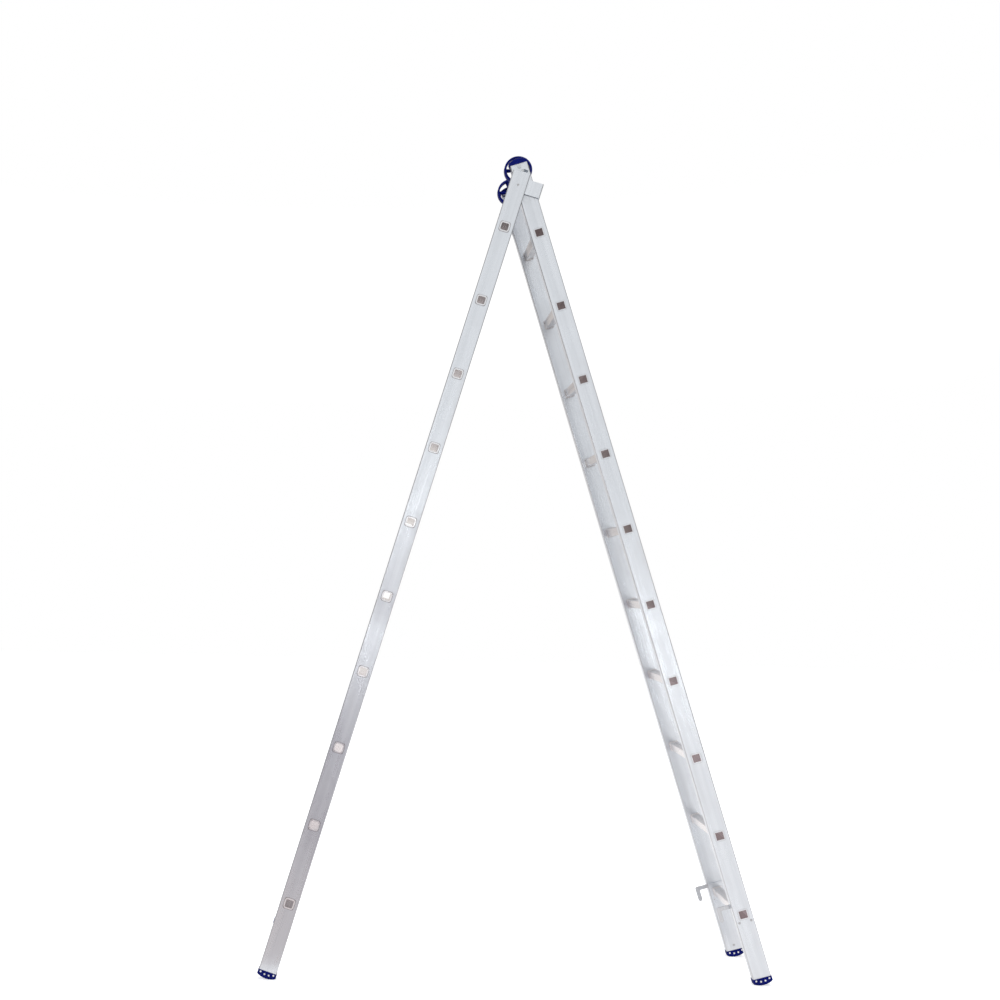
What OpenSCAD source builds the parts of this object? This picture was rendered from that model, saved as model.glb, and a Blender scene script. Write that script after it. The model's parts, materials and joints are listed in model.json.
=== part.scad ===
// Two-section combination ladder, set up as a free-standing A.
// The wide outer section carries guide brackets; the narrow inner section hangs
// its pivot studs in them, and has wheels at its head and rung hooks at its foot.
// Z = 0 is the floor, X runs along the spread, Y across the rungs.

/* [Sections] */
// Rungs in each section
rung_count = 10; // [5:1:12]
// Distance from rung to rung along the stiles
rung_pitch = 280; // [250:1:340]
// Angle between the sections when fully open
open_angle = 33.5; // [28:0.5:40]
// Pivot to the first rung of the outer section
outer_top_drop = 216; // [190:1:270]
// Pivot to the first rung of the inner section
inner_top_drop = 228; // [205:1:290]
// Last rung to the sole of the outer section
outer_foot_drop = 264; // [210:1:320]
// Last rung to the sole of the inner section
inner_foot_drop = 249; // [200:1:300]
// Outside width of the inner section
inner_width = 300; // [250:1:380]
// Outside width of the outer section at its feet
base_width = 552; // [460:1:700]
// Stile length below the pivot that stays straight before it splays
splay_start = 1700; // [1000:10:1750]
// Radius of the bend where the splay starts
splay_radius = 1200; // [600:50:1600]

/* [Stiles] */
// Depth of a stile, along the spread
stile_depth = 64; // [53:1:77]
// Thickness of a stile, across the rungs
stile_thickness = 25; // [22:0.5:30]
// Wall of the stile tube
stile_wall = 1.8; // [1.4:0.1:2.4]
// Corner radius of the stile tube
stile_corner = 3; // [2.2:0.1:4]
// Depth of the drawn grooves along a stile's outer face
groove_depth = 0.5; // [0.2:0.1:0.8]
// Width of the drawn grooves
groove_width = 3; // [2:0.5:5]
// Run of the inner stiles above the pivot
inner_head = 38; // [30:1:45]

/* [Rungs] */
// Side of a square rung
rung_side = 30; // [25:0.5:36]
// Wall of a rung tube
rung_wall = 1.6; // [1.2:0.1:2.2]
// Corner radius of the outer section's rungs
outer_rung_corner = 7; // [3:0.5:9]
// Corner radius of the inner section's rungs
inner_rung_corner = 2.4; // [1.8:0.1:6]
// Grooves in the tread of a rung
tread_grooves = 5; // [3:1:6]
// Depth of a tread groove
tread_depth = 0.7; // [0.4:0.1:0.9]
// Width of a tread groove
tread_width = 1.8; // [1:0.1:2.2]
// Width of the swaged rim round a rung end
swage_rim = 3; // [2:0.5:4]
// Height of the swaged rim
swage_height = 1.2; // [0.8:0.1:2]
// Gap between a rung and its hole in the stile
rung_gap = 0.05; // [0.02:0.01:0.1]

/* [Guide brackets] */
// Thickness of the bracket sheet
bracket_sheet = 3; // [2.5:0.1:4]
// Play between the inner stile and the bracket, on each side
guide_play = 3; // [2:0.1:5]
// Height of the ear that wraps the inner stile
ear_height = 54; // [40:1:65]
// Drop from the pivot to the top of the ear
ear_drop = 18; // [10:1:25]
// Drop from the pivot to the lower end of the bracket
bracket_drop = 128; // [110:1:150]
// Depth of the lip that closes round the inner stile
lip_depth = 9; // [6:1:14]

/* [Pivot] */
// Diameter of a pivot stud
stud_d = 10; // [8:0.5:12]
// Radial play of the stud in its saddle
stud_play = 0.08; // [0.04:0.01:0.1]
// Wall of the saddle that the stud hooks into
saddle_wall = 2.2; // [1.5:0.1:3]
// Length of the saddle's open mouth from the pivot
saddle_mouth = 20; // [15:1:26]
// Gap left at each stop of the fold
stop_gap = 0.35; // [0.3:0.05:0.6]

/* [Feet] */
// Height of a foot's side
foot_side = 16; // [12:0.5:20]
// Height of a foot on its centre line
foot_height = 25; // [23:0.5:30]
// Overhang of a foot round its stile
foot_overhang = 1.5; // [1:0.1:3]
// Depth of the foot's plug inside the stile
foot_plug = 45; // [30:1:60]
// Diameter of the grip pins let into a foot
grip_pin_d = 6.5; // [5:0.5:8]
// Spacing of the grip pins
grip_pin_pitch = 15.5; // [12:0.5:17]

/* [Head wheels] */
// Diameter of a wheel
wheel_d = 102; // [87:1:112]
// Width of the wheel's rim
rim_width = 22; // [16:1:26]
// Thickness of the wheel's rim
rim_depth = 8; // [6:0.5:11]
// Spokes in a wheel
spoke_count = 5; // [4:1:8]
// Turn of the wheels on their axles, so that one spoke lies level
spoke_turn = 51; // [0:1:72]
// Diameter of the wheel's hub
hub_d = 30; // [24:1:34]
// Diameter of the axle bolt
axle_d = 10; // [8:0.5:12]
// Radial play of the wheel on its axle
axle_play = 0.08; // [0.04:0.01:0.1]
// Stile left above the axle's washer
axle_cover = 0.5; // [0.5:0.5:4]
// Height of the plug that closes an inner stile's head
plug_height = 20; // [14:1:26]

/* [Rung hooks] */
// Thickness of a hook plate
hook_sheet = 4; // [3:0.5:5]
// Width of the gap that takes a rung
hook_gap = 32; // [31:0.5:40]
// Thickness of the hook's leg
hook_leg = 14; // [11:0.5:18]
// Thickness of the hook's arm
hook_arm = 13; // [11:0.5:17]
// Height of the arm's top above its rung
hook_rise = 34; // [31:1:40]
// Length of the hook's leg
hook_reach = 53; // [45:1:60]
// Diameter of a rivet's shank
rivet_d = 5; // [4:0.5:6]
// Gap between a fixed rivet, stud, bolt or pin and its hole
fixed_gap = 0.05; // [0.02:0.01:0.1]

/* [Hidden] */
$fn = 48;
SIDES = ["left", "right"];

SILVER = "#c9cbce";
BRIGHT = "#dcdee0";
NAVY = "#0b1f7a";
WHITE = "#e9e8ee";

// Positions across the rungs, measured from the middle plane
inner_face = inner_width / 2 - stile_thickness;
inner_mid = (inner_width - stile_thickness) / 2;
plate_in = inner_width / 2 + guide_play;
outer_face = plate_in + bracket_sheet;
outer_mid = outer_face + stile_thickness / 2;
outer_out = outer_face + stile_thickness;

// Distances down a section from the pivot
outer_last = outer_top_drop + (rung_count - 1) * rung_pitch;
inner_last = inner_top_drop + (rung_count - 1) * rung_pitch;
outer_sole = outer_last + outer_foot_drop;
inner_sole = inner_last + inner_foot_drop;
outer_end = outer_sole - foot_height;
inner_end = inner_sole - foot_height;

// The sole is an arc through the foot's corners and its lowest point
foot_half = stile_depth / 2 + foot_overhang;
sole_drop = foot_height - foot_side;
sole_radius = (foot_half * foot_half + sole_drop * sole_drop) / (2 * sole_drop);

// Lean of each section, so that both soles touch the floor
outer_reach = outer_sole - sole_radius;
inner_reach = inner_sole - sole_radius;
outer_lean = atan((outer_reach - inner_reach * cos(open_angle)) / (inner_reach * sin(open_angle)));
inner_lean = open_angle - outer_lean;
pivot_z = outer_reach * cos(outer_lean) + sole_radius;
outer_span = foot_half * cos(outer_lean) + (outer_end + foot_side) * sin(outer_lean);
inner_span = foot_half * cos(inner_lean) + (inner_end + foot_side) * sin(inner_lean);
pivot_x = (outer_span - inner_span) / 2;

// Splay of the outer stiles: a bend, then a straight run to the feet
splay_from = min(splay_start, outer_last - rung_pitch);
splay_shift = base_width / 2 - outer_out;
splay_angle = atan(splay_shift / (outer_sole - splay_from));
bend_lap = 1;
bend_scale = 0.9996;

// How far a cut runs past what it cuts
cut_over = 1;

// Guide bracket: the web stops the inner stile at the open angle
web_drop = ear_drop + ear_height;
web_x = (stile_depth / 2 + stop_gap + web_drop * sin(open_angle)) / cos(open_angle);
saddle_out = stud_d / 2 + stud_play + saddle_wall;
plate_half = stile_depth / 2 - 4;

bend_radius = 2;
neck_radius = stile_depth / 8;
lip_face = inner_face - guide_play - bracket_sheet;
long_rivet_drop = 55;
short_rivet_drop = 108;
short_rivet_x = [-16, 16];

// Stile tube
groove_x = [-0.27, 0, 0.27] * stile_depth;
cavity_depth = stile_depth - 2 * stile_wall;
side_wall = stile_wall + groove_depth;
cavity_thickness = stile_thickness - 2 * side_wall;
cavity_corner = max(stile_corner - stile_wall, 0.4) + groove_depth;

// Rungs: the inner section's ends are flared almost flush
tread_pitch = (rung_side - 2 * outer_rung_corner) / tread_grooves;
bead_rim = 2.5;
bead_height = 2;
flush_rim = 0.8;
rim_gap = 0.01;
flush_height = 0.5;

// Feet and plugs
foot_width = stile_thickness / cos(splay_angle) + 2 * foot_overhang;
cap_edge = 2.5;
cap_corner = 4;
cap_clear = 0.01;
plug_gap = 0.2;
sole_groove_step = 8;
sole_groove_width = 2.6;
sole_groove_depth = 1.4;
pin_drop = 1;
pin_ring = sole_radius - foot_height / 2 - pin_drop;
pin_proud = 0.2;
foot_rivet_rise = 18;
foot_rivet_stop = 1;
axle_rise = inner_head - axle_d - axle_cover;
head_plug_depth = inner_head - axle_rise + axle_d;
plug_radius = (foot_half * foot_half + pow(plug_height / 2, 2)) / plug_height;

// Rivets, studs and bolts
rivet_head = 1.7 * rivet_d;
rivet_dome = 1.6;
stud_head = 2;
stud_collar_d = 18;
stud_tip = 1;
axle_head = 2.5;
axle_head_d = 1.4 * axle_d;
axle_tip = 2;
washer_t = 2;
nut_flats = 1.7 * axle_d;
nut_height = 0.8 * axle_d;

// Hooks, in X and Z from the middle of the last inner rung
hook_y = inner_face - hook_sheet;
hook_rivet_x = 21;
hook_rivet_drop = 25.5;
hook_plate_out = stile_depth / 2 - 2;
hook_plate_drop = 36;
hook_corner = 6;
hook_throat = 4;

// Wheels
rim_edge = 3;
spoke_root = 9;
spoke_tip = 13;
spoke_web = 5;
spoke_rib = 3.5;
spoke_lap = 1.5;
spoke_height = rim_width - 6;
side_play = 0.25;
hub_length = rim_width + 4;
wheel_mid = inner_face - washer_t - side_play - hub_length / 2;
nut_in = wheel_mid - hub_length / 2 - side_play - washer_t - nut_height;

function outer_rung_z(i) = -(outer_top_drop + (i - 1) * rung_pitch);
function inner_rung_z(i) = -(inner_top_drop + (i - 1) * rung_pitch);

// Sideways shift and tilt of an outer stile at a distance down the section
function splay_y(drop) = drop <= splay_from ? 0 : (drop - splay_from) * tan(splay_angle);
function splay_tilt(drop) = drop <= splay_from ? 0 : splay_angle;

// Frames -------------------------------------------------------------------

module in_outer() {
    translate([pivot_x, 0, pivot_z]) rotate([0, outer_lean, 0]) children();
}

module in_inner() {
    translate([pivot_x, 0, pivot_z]) rotate([0, -inner_lean, 0]) children();
}

// Children are drawn on the +Y side; the left side is their mirror image
module on_side(side) {
    mirror([0, side == "left" ? 1 : 0, 0]) children();
}

// A solid that runs from y0 to y1, from an outline in X and Z
module across(y0, y1) {
    translate([0, y1, 0]) rotate([90, 0, 0]) linear_extrude(y1 - y0) children();
}

module fixed_hole(d) {
    circle(d = d + 2 * fixed_gap);
}

module rounded_square(w, h, r) {
    square([w, h - 2 * r], center = true);
    square([w - 2 * r, h], center = true);
    for (x = [-1, 1], y = [-1, 1]) translate([x * (w / 2 - r), y * (h / 2 - r)]) circle(r);
}

// Stiles -------------------------------------------------------------------

module stile_outline() {
    difference() {
        rounded_square(stile_depth, stile_thickness, stile_corner);
        for (x = groove_x)
            translate([x, stile_thickness / 2]) square([groove_width, 2 * groove_depth], center = true);
    }
}

module stile_cavity(gap) {
    rounded_square(cavity_depth - 2 * gap, cavity_thickness - 2 * gap, cavity_corner);
}

module stile_section() {
    difference() {
        stile_outline();
        stile_cavity(0);
    }
}

// Straight head, round bend and splayed leg, from the pivot down to below the feet.
// The leg laps a little over the bend, which is a few microns slimmer, so that
// no face runs along another and the three runs join as one solid.
module splayed_sweep(top) {
    bend_top = splay_from - splay_radius * tan(splay_angle / 2);
    leg = (outer_end - splay_from) / cos(splay_angle) + stile_thickness;
    translate([0, outer_mid, -bend_top]) linear_extrude(bend_top - top) scale(bend_scale) children();
    translate([0, outer_mid + splay_radius, -bend_top]) rotate([0, 90, 0]) rotate([0, 0, -90])
        rotate_extrude(angle = splay_angle)
            translate([splay_radius, 0]) rotate(90) scale(bend_scale) children();
    translate([0, outer_mid, -bend_top])
        translate([0, splay_radius * (1 - cos(splay_angle)), -splay_radius * sin(splay_angle)])
            rotate([splay_angle, 0, 0]) translate([0, 0, -leg]) linear_extrude(leg + bend_lap) children();
}

module rung_hole(corner) {
    across(0, base_width) rounded_square(rung_side + 2 * rung_gap, rung_side + 2 * rung_gap, corner);
}

module outer_stile(side) {
    color(SILVER) in_outer() on_side(side) difference() {
        splayed_sweep(saddle_out) stile_section();
        translate([-stile_depth, 0, -outer_end - outer_foot_drop])
            cube([2 * stile_depth, base_width, outer_foot_drop]);
        for (i = [1:rung_count]) translate([0, 0, outer_rung_z(i)]) rung_hole(outer_rung_corner);
        translate([0, 0, -long_rivet_drop]) across(plate_in, outer_out + cut_over) fixed_hole(rivet_d);
        for (x = short_rivet_x) translate([x, 0, -short_rivet_drop])
            across(plate_in, outer_face + 2 * side_wall) fixed_hole(rivet_d);
        at_outer_foot() foot_rivet_hole();
    }
}

module inner_stile(side) {
    color(SILVER) in_inner() on_side(side) difference() {
        translate([0, inner_mid, -inner_end]) linear_extrude(inner_end + inner_head) stile_section();
        for (i = [1:rung_count]) translate([0, 0, inner_rung_z(i)]) rung_hole(inner_rung_corner);
        across(0, inner_width) fixed_hole(stud_d);
        translate([0, 0, axle_rise]) across(0, inner_width) fixed_hole(axle_d);
        for (x = [-hook_rivet_x, hook_rivet_x])
            translate([x, 0, inner_rung_z(rung_count) - hook_rivet_drop])
                across(0, inner_width) fixed_hole(rivet_d);
        at_inner_foot() foot_rivet_hole();
    }
}

// Rungs --------------------------------------------------------------------

module rung_outline(corner) {
    difference() {
        rounded_square(rung_side, rung_side, corner);
        for (i = [0:tread_grooves - 1])
            translate([(i - (tread_grooves - 1) / 2) * tread_pitch, rung_side / 2])
                square([tread_width, 2 * tread_depth], center = true);
    }
}

// A square tube across both stiles. Each end has a rim swaged over the stile's
// outer face and a bead against its inner face, both tilted with the stile.
module rung(corner, face_in, face_out, tilt, rim, rim_height) {
    reach = face_out + rim_height + rung_side * tan(tilt);
    hollow = rung_side - 2 * rung_wall;
    difference() {
        union() {
            across(-reach, reach) rung_outline(corner);
            for (m = [0, 1]) mirror([0, m, 0]) {
                translate([0, face_out, 0]) rotate([tilt, 0, 0]) across(0, rim_height)
                    rounded_square(rung_side + 2 * rim, rung_side + 2 * rim, corner + rim);
                translate([0, face_in, 0]) rotate([tilt, 0, 0]) across(-bead_height, 0)
                    rounded_square(rung_side + 2 * bead_rim, rung_side + 2 * bead_rim, corner + bead_rim);
            }
        }
        across(-reach - cut_over, reach + cut_over) rounded_square(hollow, hollow, corner - rung_wall);
        for (m = [0, 1]) mirror([0, m, 0]) translate([0, face_out, 0]) rotate([tilt, 0, 0])
            translate([-rung_side, rim_height, -rung_side]) cube(2 * rung_side);
    }
}

module outer_rung(i) {
    drop = -outer_rung_z(i);
    half = stile_thickness / 2 / cos(splay_tilt(drop)) + rim_gap;
    color(BRIGHT) in_outer() translate([0, 0, -drop])
        rung(outer_rung_corner, outer_mid + splay_y(drop) - half, outer_mid + splay_y(drop) + half,
            splay_tilt(drop), swage_rim, swage_height);
}

// The last inner rung passes through the hook plates, so its beads sit on them
module inner_rung(i) {
    color(BRIGHT) in_inner() translate([0, 0, inner_rung_z(i)])
        rung(inner_rung_corner, i == rung_count ? hook_y : inner_face, inner_width / 2,
            0, flush_rim, flush_height);
}

// Feet and head plugs ------------------------------------------------------

// A disc on its edge with rounded rims, centred on the origin, axis along Y
module round_disc(radius, width, edge) {
    rotate([90, 0, 0]) rotate_extrude($fn = 96) {
        translate([0, -width / 2 + edge]) square([radius, width - 2 * edge]);
        translate([0, -width / 2]) square([radius - edge, width]);
        for (y = [-1, 1]) translate([radius - edge, y * (width / 2 - edge)]) circle(edge);
    }
}

// A cap below Z = 0 with straight sides and an arched face, and its plug above.
// The outline is a hair wider than the disc, so that no two sides coincide.
module end_cap(arch_height, arch_radius, width, plug, tilt) {
    intersection() {
        translate([0, 0, arch_radius - arch_height]) round_disc(arch_radius, width, cap_edge);
        translate([0, 0, -arch_height - cut_over]) linear_extrude(arch_height + cut_over)
            rounded_square(2 * foot_half, width + 2 * cap_clear, cap_corner);
    }
    rotate([tilt, 0, 0]) translate([0, 0, -cap_edge])
        linear_extrude(plug + cap_edge) stile_cavity(plug_gap);
}

module sole_grooves(width) {
    translate([0, width / 2, sole_radius - foot_height]) rotate([90, 0, 0]) linear_extrude(width)
        for (a = [-3.5:1:3.5]) rotate(a * sole_groove_step)
            translate([0, -sole_radius]) square([sole_groove_width, 2 * sole_groove_depth], center = true);
}

// Places its children at each grip pin, on an arc inside the sole
module at_grip_pins() {
    for (i = [-1.5:1:1.5])
        translate([i * grip_pin_pitch, 0,
            sole_radius - foot_height - sqrt(pow(pin_ring, 2) - pow(i * grip_pin_pitch, 2))]) children();
}

module foot(width, tilt) {
    difference() {
        end_cap(foot_height, sole_radius, width, foot_plug, tilt);
        sole_grooves(width + 2);
        at_grip_pins() across(-width, width) fixed_hole(grip_pin_d);
        rotate([tilt, 0, 0]) foot_rivet_hole();
    }
}

module foot_rivet_hole() {
    translate([0, 0, foot_rivet_rise]) across(-stile_thickness / 2 - cut_over, 0) fixed_hole(rivet_d);
}

module grip_pins(width) {
    at_grip_pins() across(-width / 2 - pin_proud, width / 2 + pin_proud) circle(d = grip_pin_d);
}

// Origins at the middle of each stile's cut end, Y across the rungs
module at_outer_end() {
    translate([0, outer_mid + splay_y(outer_end), -outer_end]) children();
}

module at_outer_foot() {
    at_outer_end() rotate([splay_angle, 0, 0]) children();
}

module at_inner_foot() {
    translate([0, inner_mid, -inner_end]) children();
}

module outer_foot(side) {
    color(NAVY) in_outer() on_side(side) at_outer_end() foot(foot_width, splay_angle);
}

module inner_foot(side) {
    color(NAVY) in_inner() on_side(side) at_inner_foot() foot(foot_width, 0);
}

module outer_grip_pins() {
    color(WHITE) in_outer() for (side = SIDES) on_side(side) at_outer_end() grip_pins(foot_width);
}

module inner_grip_pins() {
    color(WHITE) in_inner() for (side = SIDES) on_side(side) at_inner_foot() grip_pins(foot_width);
}

module head_plug(side) {
    color(NAVY) in_inner() on_side(side) translate([0, inner_mid, inner_head]) mirror([0, 0, 1])
        difference() {
            end_cap(plug_height, plug_radius, foot_width, head_plug_depth, 0);
            translate([0, 0, inner_head - axle_rise]) across(-foot_width, foot_width) fixed_hole(axle_d);
        }
}

// Rivets -------------------------------------------------------------------

// A domed rivet along Y: the head stands on Y = 0 and the shank runs back
module rivet(grip) {
    dome = (pow(rivet_head / 2, 2) + pow(rivet_dome, 2)) / (2 * rivet_dome);
    across(-grip, 0) circle(d = rivet_d);
    intersection() {
        translate([0, rivet_dome - dome, 0]) sphere(dome);
        across(0, rivet_dome) circle(d = rivet_head);
    }
}

module foot_rivet() {
    translate([0, -stile_thickness / 2, foot_rivet_rise])
        mirror([0, 1, 0]) rivet(stile_thickness / 2 - foot_rivet_stop);
}

module outer_foot_rivets() {
    color(BRIGHT) in_outer() for (side = SIDES) on_side(side) at_outer_foot() foot_rivet();
}

module inner_foot_rivets() {
    color(BRIGHT) in_inner() for (side = SIDES) on_side(side) at_inner_foot() foot_rivet();
}

module hook_rivets() {
    color(BRIGHT) in_inner() for (side = SIDES, x = [-hook_rivet_x, hook_rivet_x]) on_side(side)
        translate([x, inner_width / 2, inner_rung_z(rung_count) - hook_rivet_drop])
            rivet(stile_thickness + hook_sheet);
}

// Flush on the bracket, so that the inner stile slides past them
module bracket_rivets() {
    wall_in = outer_face + side_wall + rim_gap;
    color(BRIGHT) in_outer() for (side = SIDES) on_side(side) {
        translate([0, outer_out, -long_rivet_drop]) rivet(outer_out - plate_in);
        for (x = short_rivet_x) translate([x, 0, -short_rivet_drop]) {
            across(plate_in, wall_in) circle(d = rivet_d);
            across(wall_in, wall_in + rivet_dome) circle(d = rivet_head);
        }
    }
}

// Guide brackets -----------------------------------------------------------

// Outline of the flat plate, with the neck that swells into the ear
module plate_outline() {
    translate([-plate_half, -bracket_drop]) square([2 * plate_half, bracket_drop - saddle_out]);
    translate([-plate_half, -web_drop]) square([plate_half + web_x - bend_radius, ear_height]);
    difference() {
        translate([0, -ear_drop]) square([stile_depth / 2 + neck_radius, ear_drop - saddle_out]);
        translate([stile_depth / 2 + neck_radius, -ear_drop + neck_radius]) circle(neck_radius);
    }
    saddle_outline();
}

// Sheet bent round the inner stile: plate, web and lip, in X and Y
module ear_profile() {
    depth = outer_face - lip_face;
    difference() {
        translate([web_x + bracket_sheet - depth / 2, lip_face + depth / 2])
            rounded_square(depth, depth, bend_radius + bracket_sheet);
        translate([web_x - depth / 2, lip_face + depth / 2])
            rounded_square(depth, depth - 2 * bracket_sheet, bend_radius);
        translate([web_x - depth, lip_face]) square([depth - bend_radius, depth]);
    }
    translate([web_x - lip_depth, lip_face]) square([lip_depth - bend_radius, bracket_sheet]);
}

// The mouth opens away from the section, so that the stud lifts out of it
module saddle_outline() {
    circle(saddle_out);
    translate([0, -saddle_out]) square([saddle_mouth, 2 * saddle_out]);
}

module saddle_slot() {
    circle(stud_d / 2 + stud_play);
    translate([0, -stud_d / 2 - stud_play]) square([saddle_mouth + cut_over, stud_d + 2 * stud_play]);
}

module guide_bracket(side) {
    color(SILVER) in_outer() on_side(side) difference() {
        union() {
            across(plate_in, outer_face) plate_outline();
            translate([0, 0, -web_drop]) linear_extrude(ear_height) ear_profile();
            across(outer_face, outer_out) saddle_outline();
        }
        across(plate_in - cut_over, outer_out + cut_over) saddle_slot();
        for (place = [[0, -long_rivet_drop], for (x = short_rivet_x) [x, -short_rivet_drop]])
            translate([place[0], 0, place[1]])
                across(plate_in - cut_over, outer_face + cut_over) fixed_hole(rivet_d);
    }
}

// Stud through the inner stile: inner head, shank, and a collar that spaces the bracket
module pivot_stud(side) {
    color(BRIGHT) in_inner() on_side(side) {
        across(inner_face - stud_head, inner_face) circle(d = stud_collar_d);
        across(inner_face, outer_out - stud_tip) circle(d = stud_d);
        across(outer_out - stud_tip, outer_out) circle(d = stud_d - 2 * stud_tip);
        across(inner_width / 2, plate_in - stop_gap) circle(d = stud_collar_d);
    }
}

// Rung hooks ---------------------------------------------------------------

// Plate on the inner stile and the hook that drops over a rung of the outer section
module hook_outline() {
    leg_out = -stile_depth / 2 - hook_gap - hook_leg;
    leg_tip = hook_rise - hook_reach + hook_leg / 2;
    difference() {
        union() {
            translate([(hook_plate_out - stile_depth / 2) / 2, (hook_rise - hook_plate_drop) / 2])
                rounded_square(hook_plate_out + stile_depth / 2, hook_rise + hook_plate_drop, hook_corner);
            translate([leg_out + hook_corner, hook_rise - hook_arm])
                square([-leg_out - hook_corner, hook_arm]);
            translate([leg_out, leg_tip]) square([hook_leg, hook_rise - hook_corner - leg_tip]);
            translate([leg_out + hook_corner, hook_rise - hook_corner]) circle(hook_corner);
            translate([leg_out + hook_leg / 2, leg_tip]) circle(d = hook_leg);
            translate([leg_out + hook_leg, hook_rise - hook_arm - hook_throat]) square(hook_throat);
        }
        translate([leg_out + hook_leg + hook_throat, hook_rise - hook_arm - hook_throat])
            circle(hook_throat);
        rounded_square(rung_side + 2 * rung_gap, rung_side + 2 * rung_gap, inner_rung_corner);
        for (x = [-hook_rivet_x, hook_rivet_x])
            translate([x, -hook_rivet_drop]) fixed_hole(rivet_d);
    }
}

module rung_hook(side) {
    color(SILVER) in_inner() on_side(side) translate([0, 0, inner_rung_z(rung_count)])
        across(hook_y, inner_face) hook_outline();
}

// Head wheels --------------------------------------------------------------

module at_axle() {
    translate([0, 0, axle_rise]) children();
}

module wheel_spoke() {
    root = hub_d / 2 - spoke_lap;
    tip = wheel_d / 2 - rim_depth + spoke_lap;
    for (layer = [[spoke_root, spoke_tip, spoke_web], [spoke_rib, spoke_rib, spoke_height]])
        across(-layer[2] / 2, layer[2] / 2)
            polygon([
                [root, -layer[0] / 2], [tip, -layer[1] / 2],
                [tip, layer[1] / 2], [root, layer[0] / 2]
            ]);
}

// One moulding, axis along Y: hollow rim, spokes with a rib each, and a long hub
module wheel(side) {
    color(NAVY) in_inner() on_side(side) at_axle() translate([0, wheel_mid, 0]) difference() {
        union() {
            difference() {
                round_disc(wheel_d / 2, rim_width, rim_edge);
                across(-rim_width, rim_width) circle(wheel_d / 2 - rim_depth, $fn = 96);
            }
            across(-hub_length / 2, hub_length / 2) circle(d = hub_d);
            for (i = [0:spoke_count - 1])
                rotate([0, spoke_turn + i * 360 / spoke_count, 0]) wheel_spoke();
        }
        across(-hub_length, hub_length) circle(axle_d / 2 + axle_play);
    }
}

module wheel_axle(side) {
    color(BRIGHT) in_inner() on_side(side) at_axle() {
        across(nut_in - axle_tip, inner_width / 2) circle(d = axle_d);
        across(inner_width / 2, inner_width / 2 + axle_head) circle(d = axle_head_d);
    }
}

module axle_washers() {
    color(BRIGHT) in_inner() for (side = SIDES, y = [inner_face, nut_in + nut_height + washer_t])
        on_side(side) at_axle() across(y - washer_t, y) difference() {
            circle(d = 2 * axle_d);
            fixed_hole(axle_d);
        }
}

module axle_nuts() {
    color(BRIGHT) in_inner() for (side = SIDES) on_side(side) at_axle()
        across(nut_in, nut_in + nut_height) difference() {
            circle(nut_flats / 2 / cos(30), $fn = 6);
            fixed_hole(axle_d);
        }
}

// Drawing ------------------------------------------------------------------

for (s = SIDES) {
    outer_stile(s);
    outer_foot(s);
    guide_bracket(s);
    inner_stile(s);
    inner_foot(s);
    head_plug(s);
    rung_hook(s);
    pivot_stud(s);
    wheel_axle(s);
    wheel(s);
}
for (i = [1:rung_count]) {
    outer_rung(i);
    inner_rung(i);
}
bracket_rivets();
outer_foot_rivets();
outer_grip_pins();
hook_rivets();
inner_foot_rivets();
inner_grip_pins();
axle_washers();
axle_nuts();
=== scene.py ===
import bmesh
import bpy
import json
import math
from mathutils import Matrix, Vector


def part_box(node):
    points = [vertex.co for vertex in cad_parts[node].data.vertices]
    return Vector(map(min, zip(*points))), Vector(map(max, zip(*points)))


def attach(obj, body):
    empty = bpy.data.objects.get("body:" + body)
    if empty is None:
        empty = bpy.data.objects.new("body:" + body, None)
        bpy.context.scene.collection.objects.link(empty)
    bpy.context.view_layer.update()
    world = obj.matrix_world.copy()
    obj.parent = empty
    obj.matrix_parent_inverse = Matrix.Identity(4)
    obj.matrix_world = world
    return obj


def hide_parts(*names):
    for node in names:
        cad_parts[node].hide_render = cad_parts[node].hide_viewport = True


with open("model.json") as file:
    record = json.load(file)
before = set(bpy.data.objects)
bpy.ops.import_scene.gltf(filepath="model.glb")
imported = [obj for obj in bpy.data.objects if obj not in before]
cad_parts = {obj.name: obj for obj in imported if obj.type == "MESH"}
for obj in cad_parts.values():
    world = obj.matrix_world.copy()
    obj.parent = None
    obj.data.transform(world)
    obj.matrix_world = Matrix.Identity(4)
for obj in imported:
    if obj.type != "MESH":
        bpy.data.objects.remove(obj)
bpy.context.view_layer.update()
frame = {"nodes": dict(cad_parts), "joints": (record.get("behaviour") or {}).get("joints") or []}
nodes = frame["nodes"]


# ---------------------------------------------------------------- the ladder's own measures, read from the frame

def middle(node):
    """The middle of a node's box."""
    low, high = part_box(node)
    return (low + high) / 2


def section_axes(first_rung, last_rung):
    """Directions along a section's stiles, upwards, and through their depth."""
    along = middle(first_rung) - middle(last_rung)
    along.y = 0
    along.normalize()
    return along, Vector((along.z, 0, -along.x))


def drop(node, along):
    """Distance of a node's middle below the pivot, down its section."""
    return -(middle(node) - pivot).dot(along)


def reach(node, direction):
    """Lowest and highest distance of a node from the pivot, along a direction."""
    distances = [(vertex.co - pivot).dot(direction) for vertex in nodes[node].data.vertices]
    return min(distances), max(distances)


pivot = Vector(next(joint["pos_m"] for joint in frame["joints"] if joint["name"] == "section_fold"))
outer_along, outer_depth = section_axes("outer_rung_1", "outer_rung_10")
inner_along, inner_depth = section_axes("inner_rung_1", "inner_rung_10")
to_the_right = Vector((0, 1, 0))

# The rungs: their pitch, the first one's drop below the pivot, and where their rims end
rung_pitch = (middle("outer_rung_1") - middle("outer_rung_2")).length
outer_first = drop("outer_rung_1", outer_along)
inner_first = drop("inner_rung_1", inner_along)
outer_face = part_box("outer_rung_1")[1].y
inner_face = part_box("inner_rung_1")[1].y
rim_half = reach("outer_rung_1", outer_depth)[1]

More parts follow.
